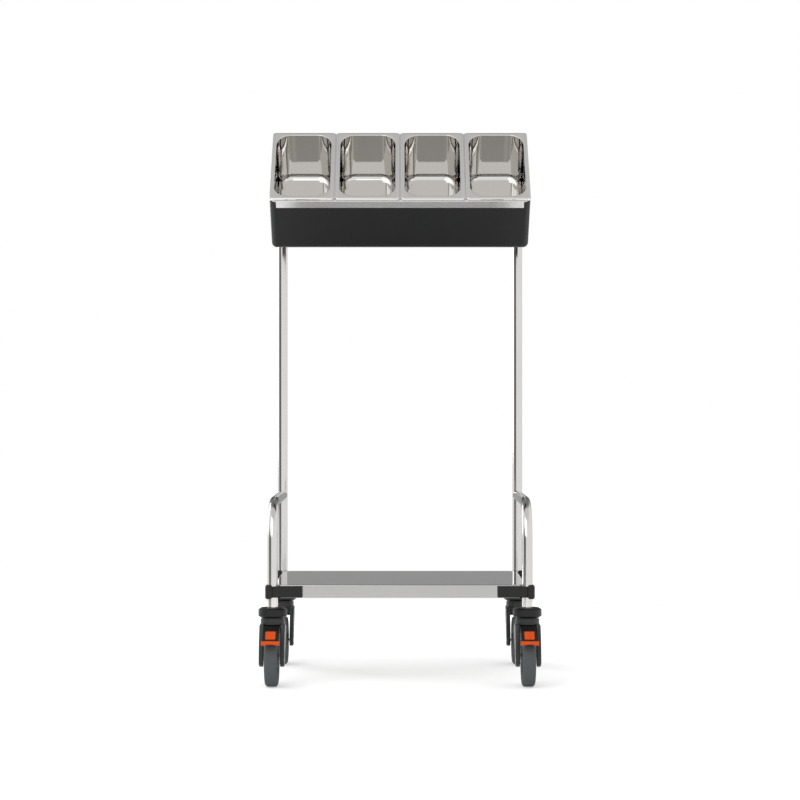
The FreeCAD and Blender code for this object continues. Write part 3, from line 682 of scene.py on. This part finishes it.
@dataclass
class Fork:
    """Swivelling fork: banded head, crown over the wheel, two rounded legs."""

    head_r: float = 0.0295
    neck_r: float = 0.027
    base: float = 0.1475
    groove_up: float = 0.0048
    groove: float = 0.0008
    band_top: float = 0.159
    top: float = 0.1622
    inner: float = 0.0206
    outer: float = 0.031
    crown_low: float = 0.125
    crown_y: tuple[float, float] = (-0.013, 0.026)
    round_out: float = 0.0035
    round_in: float = 0.0008
    axle_seat: float = 0.0284
    axle_head: float = 0.0072
    axle_bar: float = 0.01
    overlap: float = 0.001
    stations: tuple[Triple, ...] = (
        (0.140, -0.0320, 0.0295), (0.130, -0.0372, 0.0292), (0.120, -0.0422, 0.0252), (0.109, -0.0468, 0.0165),
        (0.095, -0.0502, 0.0052), (0.080, -0.0530, -0.0072), (0.070, -0.0545, -0.0154), (0.0625, -0.0550, -0.0210),
        (0.056, -0.0535, -0.0228), (0.051, -0.0490, -0.0270), (0.0475, -0.0415, -0.0345),
    )

    def head(self) -> Work:
        """Shape the banded head and its neck."""
        head = Work.round("fork", self.head_r, (0.0, 0.0, self.base + self.groove_up / 2), self.groove_up, 96)
        head.faces(lambda m, d: d.z > 0.9).inset(self.groove)
        head.extrude((0.0, 0.0, self.groove)).extrude((0.0, 0.0, 0.0))
        back = self.head_r / (self.head_r - self.groove)
        head.stretch((back, back, 1.0), (0.0, 0.0, self.base))
        head.extrude((0.0, 0.0, self.band_top - self.base - self.groove_up - self.groove))
        head.inset(self.head_r - self.neck_r).extrude((0.0, 0.0, self.top - self.band_top))
        return head

    def leg(self) -> Work:
        """Shape one leg by extruding it down through its stations."""
        start = (self.inner, -self.head_r, self.stations[0][0])
        leg = Work.cube("leg", start, (self.outer, self.head_r, self.base))
        leg.faces(lambda m, d: d.z < -0.9)
        leg.draw_out(2, 1, (self.stations[0][0], -self.head_r, self.head_r), self.stations)
        foot = self.stations[-1][0]
        leg.edges(lambda m, d: abs(m.x - self.outer) < NEAR and (
            abs(d.y) < 0.999 or m.z < foot + NEAR or m.z > self.base - NEAR)).bevel(self.round_out, 5)
        leg.edges(lambda m, d: abs(m.x - self.inner) < NEAR and (
            abs(d.y) < 0.999 or m.z < foot + NEAR)).bevel(self.round_in, 2)
        leg.face_out()
        centre = (self.axle_seat + self.axle_bar / 2, -TRAIL, AXLE_Z)
        leg.cut(Work.round("axle_seat", self.axle_head, centre, self.axle_bar, 48, (0.0, math.pi / 2, 0.0)))
        leg.modify("MIRROR", use_axis=(True, False, False), use_mirror_merge=False)
        return leg

    def build(self, paint: "Paint") -> None:
        """Model one fork and set it on all four castors."""
        first = self.head()
        crown = Work.cube("crown", (-self.inner - self.overlap, self.crown_y[0], self.crown_low),
                          (self.inner + self.overlap, self.crown_y[1], self.base + self.overlap))
        first.cut(crown, "UNION").cut(self.leg(), "UNION").soften(30.0)
        for corner in Corner:
            first.set_at(corner, "fork_{}", paint.get("fork grey"), "castor_grey", "castor_{}", "castor_fork_{}")
        first.clear()


@dataclass
class Wheel:
    """Wheel hub and the tyre on it."""

    rim_r: float = 0.046
    rim_width: float = 0.026
    rim_wall: float = 0.006
    web: float = 0.006
    barrel_r: float = 0.016
    barrel_width: float = 0.036
    seat_r: float = 0.01105
    seat_depth: float = 0.007
    bore_r: float = 0.009
    tread_r: float = 0.0625
    tread_width: float = 0.032
    foot_width: float = 0.028
    shoulder: float = 0.008
    rim_slope: float = 0.0008
    barrel_slope: float = 0.001
    seat_slope: float = 0.00001
    fit: float = 0.00005
    edge: float = 0.0008
    turns: int = 96

    def hub(self) -> Work:
        """Shape the hub from a round bar by insets on both ends."""
        centre = (0.0, -TRAIL, AXLE_Z)
        hub = Work.round("hub", self.rim_r, centre, self.rim_width, self.turns, (0.0, math.pi / 2, 0.0))
        hub.faces(lambda m, d: abs(d.x) > 0.9)
        recess = (self.rim_width - self.web) / 2
        rise = (self.barrel_width - self.web) / 2
        hub.inset(self.rim_wall).inset(self.rim_slope, -recess)
        web = self.rim_r - self.rim_wall - self.rim_slope - self.barrel_r - self.barrel_slope
        hub.inset(web).inset(self.barrel_slope, rise)
        hub.inset(self.barrel_r - self.seat_r).inset(self.seat_slope, -self.seat_depth)
        hub.inset(self.seat_r - self.bore_r).drop("FACE")
        hub.edges(lambda m, d: math.hypot(m.y + TRAIL, m.z - AXLE_Z) < self.bore_r + NEAR).bridge()
        hub.edges(lambda m, d: abs(d.x) < 0.1 and abs(m.x) > self.rim_width / 2 - NEAR and math.hypot(
            m.y + TRAIL, m.z - AXLE_Z) > self.barrel_r - self.barrel_slope and abs(
            (m.y + TRAIL) * d.y + (m.z - AXLE_Z) * d.z) < ALONG).bevel(self.edge, 2)
        hub.face_out()
        return hub.soften(30.0)

    def tyre(self) -> Work:
        """Shape the tyre by spinning its section about the axle."""
        outer = -TRAIL - self.tread_r
        waist = outer + self.shoulder
        foot = -TRAIL - self.rim_r - self.fit
        half = self.tread_width / 2
        tyre = Work.plane("tyre", (-half, outer, AXLE_Z), (half, waist, AXLE_Z))
        tyre.edges(lambda m, d: m.y > waist - NEAR).extrude((0.0, foot - waist, 0.0))
        tyre.stretch((self.foot_width / self.tread_width, 1.0, 1.0), (0.0, foot, AXLE_Z))
        tyre.pick(Kind.VERT, lambda m, d: m.y < outer + NEAR).bevel(self.shoulder * 0.999, 8, Kind.VERT)
        tyre.faces(lambda m, d: True).drop("ONLY_FACE")
        tyre.edges(lambda m, d: abs(m.y - waist) > 0.00001 or abs(d.x) < 0.9)
        tyre.spin(2 * math.pi, self.turns, (0.0, -TRAIL, AXLE_Z), (1.0, 0.0, 0.0))
        tyre.face_out()
        return tyre.soften(40.0)

    def build(self, paint: "Paint") -> None:
        """Model one hub and one tyre and set them on all four axles."""
        hub, tyre = self.hub(), self.tyre()
        for corner in Corner:
            hub.set_at(corner, "hub_{}", paint.get("hub grey"), "hub_grey", "wheel_{}", "wheel_hub_{}")
            tyre.set_at(corner, "tread_{}", paint.get("tyre grey"), "tyre_grey", "wheel_{}", "tyre_{}")
        hub.clear()
        tyre.clear()


@dataclass
class Brake:
    """Pedal over the front of each front wheel, with its orange button and lip."""

    half_width: float = 0.0202
    stations: tuple[Triple, ...] = (
        (-0.0173, 0.1246, 0.1445), (-0.031, 0.1276, 0.1445), (-0.038, 0.1281, 0.1445), (-0.046, 0.1281, 0.1442),
        (-0.055, 0.1277, 0.1426), (-0.063, 0.1262, 0.1408), (-0.072, 0.1231, 0.1388), (-0.079, 0.1196, 0.1368),
        (-0.083, 0.1171, 0.1345), (-0.090, 0.1166, 0.1294), (-0.098, 0.1166, 0.1234), (-0.1055, 0.1166, 0.1177),
    )
    edge: float = 0.003
    knee: tuple[float, float] = (-0.080, 0.137)
    nose: tuple[float, float] = (-0.107, 0.1165)
    button_half: float = 0.012
    button_span: tuple[float, float] = (0.06, 0.86)
    button_proud: float = 0.0018
    button_deep: float = 0.001
    button_corner: float = 0.0022
    button_round: float = 0.0007
    lip_half: float = 0.0215
    lip_y: tuple[float, float] = (-0.115, -0.101)
    lip_z: tuple[float, float] = (0.106, 0.1165)
    lip_bevel: float = 0.0035
    lip_round: float = 0.0009
    lip_cuts: int = 13
    arch_r: float = 0.060
    arch_rise: float = 0.0025

    def pedal(self) -> Work:
        """Shape the pedal by extruding it forward through its stations."""
        (back, low, high), (front, _, _) = self.stations[:2]
        pedal = Work.cube("pedal", (-self.half_width, front, low), (self.half_width, back, high))
        pedal.faces(lambda m, d: d.y < -0.9).draw_out(1, 2, (front, low, high), self.stations[1:])
        tops = [(one[0], one[2]) for one in self.stations]

        def on_top(point: Vector) -> bool:
            """Say whether a point lies on the pedal's top line."""
            for (y0, z0), (y1, z1) in zip(tops, tops[1:]):
                if y1 - NEAR <= point.y <= y0 + NEAR:
                    return abs(point.z - z0 - (z1 - z0) * (point.y - y0) / (y1 - y0)) < NEAR
            return False

        pedal.edges(lambda m, d: abs(
            abs(m.x) - self.half_width) < NEAR and abs(d.x) < 0.1 and on_top(m)).bevel(self.edge, 4)
        pedal.face_out()
        return pedal.soften(30.0)

    def button(self) -> Work:
        """Shape the square button and turn it to the pedal's slope."""
        run = Vector((0.0, self.nose[0] - self.knee[0], self.nose[1] - self.knee[1]))
        first, last = (share * run.length for share in self.button_span)
        low = (-self.button_half, -last, -self.button_deep)
        button = Work.cube("button", low, (self.button_half, -first, self.button_proud))
        button.edges(lambda m, d: abs(d.z) > 0.9).bevel(self.button_corner, 4)
        button.edges(lambda m, d: abs(d.z) < 0.1 and m.z > self.button_proud - NEAR)
        button.bevel(self.button_round, 3).place((0.0, *self.knee), math.atan2(-run.z, -run.y))
        return button.soften(40.0)

    def lip(self) -> Work:
        """Shape the foot lip, arched underneath."""
        (back, front), (base, top) = reversed(self.lip_y), self.lip_z
        lip = Work.cube("lip", (-self.lip_half, front, base), (self.lip_half, back, top))
        lip.edges(lambda m, d: abs(d.x) > 0.9 and m.y < front + NEAR).bevel(self.lip_bevel, 3)
        lip.edges(lambda m, d: abs(d.x) > 0.9)
        bpy.ops.mesh.subdivide(number_cuts=self.lip_cuts)
        places = sorted({round(one.co.x, 6) for one in bmesh.from_edit_mesh(lip.piece.data).verts})
        for x in places:
            lift = self.arch_rise - self.arch_r + math.sqrt(self.arch_r ** 2 - x ** 2)
            if lift > 0.0:
                lip.pick(Kind.VERT, lambda m, d: abs(m.x - x) < NEAR and m.z < base + self.lip_bevel + NEAR)
                lip.shift((0.0, 0.0, lift))
        lip.edges(lambda m, d: abs(abs(m.x) - self.lip_half) < NEAR and abs(d.x) < 0.1)
        lip.bevel(self.lip_round, 2).face_out()
        return lip.soften(40.0)

    def build(self, paint: "Paint") -> None:
        """Model one brake and set it on both front castors."""
        for first, name, finish, slot in (
            (self.pedal(), "pedal", "pedal black", "castor_black"),
            (self.button(), "button", "brake orange", "brake_orange"),
            (self.lip(), "lip", "brake orange", "brake_orange"),
        ):
            for side in Side:
                first.set_at(side, name + "_{}", paint.get(finish), slot, "pedal_{}", f"brake_{name}_{{}}")
            first.clear()


def add(tree: bpy.types.NodeTree, kind: str, inputs: dict, **choices: object) -> bpy.types.Node:
    """Add a shader node.

    Args:
        tree: The node tree.
        kind: Type of the node.
        inputs: Value or source socket of each input, by its name or number.
        choices: The node's own settings.

    Returns:
        The node.
    """
    node = tree.nodes.new("ShaderNode" + kind)
    for key, value in choices.items():
        setattr(node, key, value)
    for key, value in inputs.items():
        if isinstance(value, bpy.types.NodeSocket):
            tree.links.new(value, node.inputs[key])
        else:
            node.inputs[key].default_value = value
    return node


class NodeChain:
    """Shader nodes of one material, added and linked by short calls."""

    def __init__(self, name: str) -> None:
        """Start a material that has a surface shader and an output only.

        Args:
            name: Name of the material.
        """
        self.material = bpy.data.materials.new(name)
        self.material.use_nodes = True
        self.tree = self.material.node_tree
        self.tree.nodes.clear()
        self.output = self.tree.nodes.new("ShaderNodeOutputMaterial")
        self.surface = self.tree.nodes.new("ShaderNodeBsdfPrincipled")
        self.tree.links.new(self.surface.outputs["BSDF"], self.output.inputs["Surface"])
        self.place = self.tree.nodes.new("ShaderNodeTexCoord")

    def set(self, **values: object) -> None:
        """Set surface sockets, written with underscores for spaces."""
        for key, value in values.items():
            self.surface.inputs[key.replace("_", " ")].default_value = value

    def noise(self, stretch: Triple, scale: float, detail: float) -> bpy.types.NodeSocket:
        """Add noise on object coordinates.

        Args:
            stretch: Scale of the coordinates along each axis.
            scale: Scale of the noise, per metre.
            detail: Octaves of the noise.

        Returns:
            The noise's factor socket.
        """
        mapped = add(self.tree, "Mapping", {"Scale": stretch, "Vector": self.place.outputs["Object"]})
        texture = {"Scale": scale, "Detail": detail, "Vector": mapped.outputs["Vector"]}
        return add(self.tree, "TexNoise", texture).outputs["Fac"]

    def spread(self, source: bpy.types.NodeSocket, low: float, high: float) -> bpy.types.NodeSocket:
        """Map a 0 to 1 factor to a range.

        Args:
            source: The factor.
            low: Value at 0.3, where noise begins to matter.
            high: Value at 0.7.

        Returns:
            The mapped value's socket.
        """
        values = {"From Min": 0.3, "From Max": 0.7, "To Min": low, "To Max": high, "Value": source}
        return add(self.tree, "MapRange", values).outputs["Result"]

    def tint(self, source: bpy.types.NodeSocket, dark: Triple, light: Triple) -> None:
        """Colour the surface between two colours by a factor."""
        mixed = add(self.tree, "Mix", {6: (*dark, 1.0), 7: (*light, 1.0), 0: source}, data_type="RGBA")
        self.drive(mixed.outputs[2], "Base Color")

    def drive(self, source: bpy.types.NodeSocket, socket: str) -> None:
        """Link a value to a surface socket."""
        self.tree.links.new(source, self.surface.inputs[socket])

    def bump(self, source: bpy.types.NodeSocket, distance: float, strength: float) -> None:
        """Raise the surface by a factor.

        Args:
            source: The height, from 0 to 1.
            distance: Height in metres at 1.
            strength: Strength of the bump.
        """
        raised = add(self.tree, "Bump", {"Distance": distance, "Strength": strength, "Height": source})
        self.drive(raised.outputs["Normal"], "Normal")


def shade(colour: Triple, factor: float) -> Triple:
    """Return a colour made darker or lighter by a factor."""
    return tuple(min(1.0, channel * factor) for channel in colour)


@dataclass(frozen=True)
class Finish:
    """A surface with a fine grain, and a faint broad cloud in its colour."""

    name: str
    colour: Triple
    roughness: float
    stretch: Triple = EVEN
    grain: float = 900.0
    relief: float = 0.000004
    swing: float = 0.05
    uneven: float = 0.18
    strength: float = 0.5
    cloud: float = 7.0

    def kind(self) -> dict[str, float]:
        """Give the surface sockets that this kind of finish sets."""
        return {}

    def material(self) -> bpy.types.Material:
        """Build the material."""
        chain = NodeChain(self.name)
        chain.set(**self.kind())
        grain = chain.noise(self.stretch, self.grain, 2.0)
        cloud = chain.noise(EVEN, self.cloud, 3.0)
        chain.tint(cloud, shade(self.colour, 1.0 - self.swing), shade(self.colour, 1.0 + self.swing))
        low, high = (self.roughness * (1.0 + way * self.uneven) for way in (-1, 1))
        chain.drive(chain.spread(grain, low, high), "Roughness")
        if self.relief:
            chain.bump(grain, self.relief, self.strength)
        return chain.material


@dataclass(frozen=True)
class Steel(Finish):
    """Stainless or zinc-plated steel, its grain drawn along one axis."""

    def kind(self) -> dict[str, float]:
        """Give the surface sockets of bare metal."""
        return {"Metallic": 1.0}


@dataclass(frozen=True)
class Plastic(Finish):
    """Moulded or powder-coated surface with a fine pebble grain."""

    grain: float = 1400.0
    relief: float = 0.00002
    swing: float = 0.10
    uneven: float = 0.1
    strength: float = 0.4
    cloud: float = 11.0
    specular: float = 0.5

    def kind(self) -> dict[str, float]:
        """Give the surface sockets of plastic and paint."""
        return {"Specular_IOR_Level": self.specular}


FINISHES = (
    Steel("tube steel", (0.68, 0.67, 0.66), 0.13, (1.0, 1.0, 0.04), relief=0.000001),
    Steel("shelf steel", (0.50, 0.495, 0.48), 0.07, (0.03, 1.0, 1.0), relief=0.000001),
    Steel("pan steel", (0.70, 0.685, 0.665), 0.03, relief=0.0, swing=0.02),
    Steel("carrier steel", (0.76, 0.75, 0.74), 0.15, (0.03, 1.0, 1.0), relief=0.000001),
    Steel("zinc", (0.62, 0.62, 0.63), 0.3),
    Plastic("tub black", (0.010, 0.0105, 0.011), 0.36, specular=0.28),
    Plastic("clamp black", (0.010, 0.010, 0.010), 0.4, specular=0.3),
    Plastic("fork grey", (0.028, 0.029, 0.031), 0.36, specular=0.4),
    Plastic("pedal black", (0.008, 0.008, 0.008), 0.4, specular=0.3),
    Plastic("hub grey", (0.10, 0.105, 0.11), 0.5),
    Plastic("tyre grey", (0.090, 0.102, 0.102), 0.75, specular=0.3),
    Plastic("brake orange", (0.72, 0.085, 0.006), 0.4, specular=0.2),
)

NODE_FINISHES = (
    (("upright_left", "upright_right", "side_hoop"), "tube steel"),
    (("shelf",), "shelf steel"),
    (("cutlery_pan",), "pan steel"),
    (("carrier_frame",), "carrier steel"),
    (("clamp_screws", "console_bolts", "swivel_bearings", "castor_stem", "axle", "wheel_bearings"), "zinc"),
    (("tub", "console_left", "console_right"), "tub black"),
    (("shelf_clamp", "clamp_caps", "bumper_disc", "upright_caps"), "clamp black"),
    (("castor_fork",), "fork grey"),
    (("brake_pedal",), "pedal black"),
    (("brake_button", "brake_lip"), "brake orange"),
    (("wheel_hub",), "hub grey"),
    (("tyre",), "tyre grey"),
)


class Paint:
    """The finishes as materials, each built once."""

    def __init__(self) -> None:
        """Build every finish."""
        self.materials = {finish.name: finish.material() for finish in FINISHES}

    def get(self, name: str) -> bpy.types.Material:
        """Return the material of a finish."""
        return self.materials[name]

    def dress_frame(self) -> None:
        """Give each node of the frame the finish whose rule fits the most of its name."""
        for node in sorted(NODES):
            fits = [
                (len(start), name) for starts, name in NODE_FINISHES for start in starts if node.startswith(start)]
            if not fits:
                raise ValueError("no finish for " + node)
            mesh = NODES[node].data
            mesh.materials.clear()
            mesh.materials.append(self.get(max(fits)[1]))
            log.info("dressed %s in %s", node, max(fits)[1])


@dataclass(frozen=True)
class Softbox:
    """One rectangular lamp, that points at a place."""

    name: str
    place: Triple
    target: Triple
    size: tuple[float, float]
    watts: float

    def hang(self) -> None:
        """Add the lamp to the scene."""
        data = bpy.data.lights.new(self.name, "AREA")
        data.shape = "RECTANGLE"
        data.size, data.size_y = self.size
        data.energy = self.watts
        light = bpy.data.objects.new(self.name, data)
        light.location = self.place
        aim = Vector(self.target) - Vector(self.place)
        light.rotation_euler = aim.to_track_quat("-Z", "Y").to_euler()
        bpy.context.scene.collection.objects.link(light)


@dataclass(frozen=True)
class Patch:
    """A dimmer part of the sky, which only gloss shows."""

    way: Triple
    span: tuple[float, float]
    level: float


@dataclass(frozen=True)
class Studio:
    """Camera, floor, lamps and background."""

    focal: float = 2181.3
    picture: float = 800.0
    sensor: float = 36.0
    distance: float = 5.4805
    eye: float = 0.69026
    floor_radius: float = 2.0
    floor_dark: Triple = (0.93, 0.93, 0.93)
    floor_light: Triple = (0.95, 0.95, 0.95)
    floor_glow: tuple[float, float] = (0.36, 0.75)
    floor_span: tuple[float, float] = (0.7, 1.8)
    sky: float = 0.75
    overhead: Patch = Patch((0.0, 0.0, 1.0), (0.60, 0.95), 0.75)
    left: Patch = Patch((-0.87, -0.50, 0.0), (0.80, 0.96), 0.15)
    behind: Patch = Patch((0.0, 1.0, 0.0), (0.70, 0.93), 0.36)
    slant: Patch = Patch((0.0, math.sqrt(0.5), math.sqrt(0.5)), (0.74, 0.90), 0.25)
    key: Softbox = Softbox("key", (-2.2, -3.2, 3.4), (0.0, 0.0, 0.8), (4.0, 4.0), 60.0)
    rim: Softbox = Softbox("rim", (-3.2, 3.0, 1.6), (0.0, 0.0, 0.7), (1.4, 2.4), 40.0)

    def camera(self) -> None:
        """Stand the camera level in front of the trolley, at the photograph's distance."""
        data = bpy.data.cameras.new("view")
        data.sensor_width = self.sensor
        data.lens = self.focal / self.picture * self.sensor
        camera = bpy.data.objects.new("view", data)
        camera.location = (0.0, -self.distance, self.eye)
        camera.rotation_euler = (math.pi / 2, 0.0, 0.0)
        bpy.context.scene.collection.objects.link(camera)
        bpy.context.scene.camera = camera

    def seen(self, tree: bpy.types.NodeTree, low: float, high: float) -> bpy.types.NodeSocket:
        """Give one value to what is seen straight, in gloss or through glass, and another to other light.

        Args:
            tree: The node tree.
            low: Value for other light.
            high: Value for what is seen.

        Returns:
            The value's socket.
        """
        path = tree.nodes.new("ShaderNodeLightPath")
        found = path.outputs["Is Camera Ray"]
        for ray in ("Is Glossy Ray", "Is Transmission Ray"):
            found = add(tree, "Math", {0: found, 1: path.outputs[ray]}, operation="MAXIMUM").outputs[0]
        return add(tree, "MapRange", {"To Min": low, "To Max": high, "Value": found}).outputs["Result"]

    def floor(self) -> None:
        """Lay the pale floor, which reads as white but keeps the shadow."""
        deselect()
        bpy.ops.mesh.primitive_circle_add(vertices=96, radius=self.floor_radius, fill_type="NGON")
        floor = bpy.context.object
        floor.name = "floor"
        chain = NodeChain("floor")
        chain.set(Roughness=1.0, Specular_IOR_Level=0.0, Emission_Color=(1.0, 1.0, 1.0, 1.0))
        chain.tint(chain.noise(EVEN, 0.8, 2.0), self.floor_dark, self.floor_light)
        reach = add(chain.tree, "VectorMath", {0: chain.place.outputs["Object"]}, operation="LENGTH")
        glow = self.ramp(chain.tree, reach.outputs["Value"], self.floor_span, self.floor_glow)
        chain.drive(self.product(chain.tree, self.seen(chain.tree, 0.0, 1.0), glow), "Emission Strength")
        floor.data.materials.append(chain.material)

    def product(self, tree: bpy.types.NodeTree, one: bpy.types.NodeSocket,
                other: bpy.types.NodeSocket) -> bpy.types.NodeSocket:
        """Multiply two values."""
        return add(tree, "Math", {0: one, 1: other}, operation="MULTIPLY").outputs[0]

    def ramp(self, tree: bpy.types.NodeTree, source: bpy.types.NodeSocket, span: tuple[float, float],
             level: tuple[float, float]) -> bpy.types.NodeSocket:
        """Map a value to a light level, smoothly.

        Args:
            tree: The node tree.
            source: The value.
            span: Where the change begins and ends.
            level: Light level before and after it.

        Returns:
            The level's socket.
        """
        values = {"From Min": span[0], "From Max": span[1], "To Min": level[0], "To Max": level[1], "Value": source}
        return add(tree, "MapRange", values, interpolation_type="SMOOTHSTEP").outputs["Result"]

    def world(self) -> None:
        """Give the world its soft white light, with a few dimmer patches in what gloss shows."""
        world = bpy.data.worlds.new("studio")
        world.use_nodes = True
        tree = world.node_tree
        background = tree.nodes["Background"]
        background.inputs["Color"].default_value = (1.0, 1.0, 1.0, 1.0)
        place = tree.nodes.new("ShaderNodeTexCoord")
        dim = None
        for patch in (self.overhead, self.left, self.behind, self.slant):
            share = add(tree, "VectorMath", {1: patch.way, 0: place.outputs["Generated"]}, operation="DOT_PRODUCT")
            level = self.ramp(tree, share.outputs["Value"], patch.span, (1.0, patch.level))
            dim = self.product(tree, dim, level) if dim else level
        path = tree.nodes.new("ShaderNodeLightPath")
        choice = add(tree, "Mix", {2: 1.0, 0: path.outputs["Is Glossy Ray"], 3: dim}, data_type="FLOAT")
        strength = self.product(tree, self.seen(tree, self.sky, 1.0), choice.outputs[0])
        tree.links.new(strength, background.inputs["Strength"])
        bpy.context.scene.world = world

    def build(self) -> None:
        """Make the whole studio."""
        self.camera()
        self.floor()
        self.world()
        self.key.hang()
        self.rim.hang()
        bpy.context.scene.view_settings.view_transform = "Standard"


def main() -> None:
    """Build the studio, dress the frame and model the pieces."""
    logging.basicConfig(level=logging.INFO, format="%(message)s")
    Studio().build()
    paint = Paint()
    paint.dress_frame()
    for assembly in (Tubes(), Shelf(), Bumper(), Fork(), Wheel(), Brake(), Tub(), Carrier(), Pans()):
        assembly.build(paint)


if __name__ == "__main__":
    main()
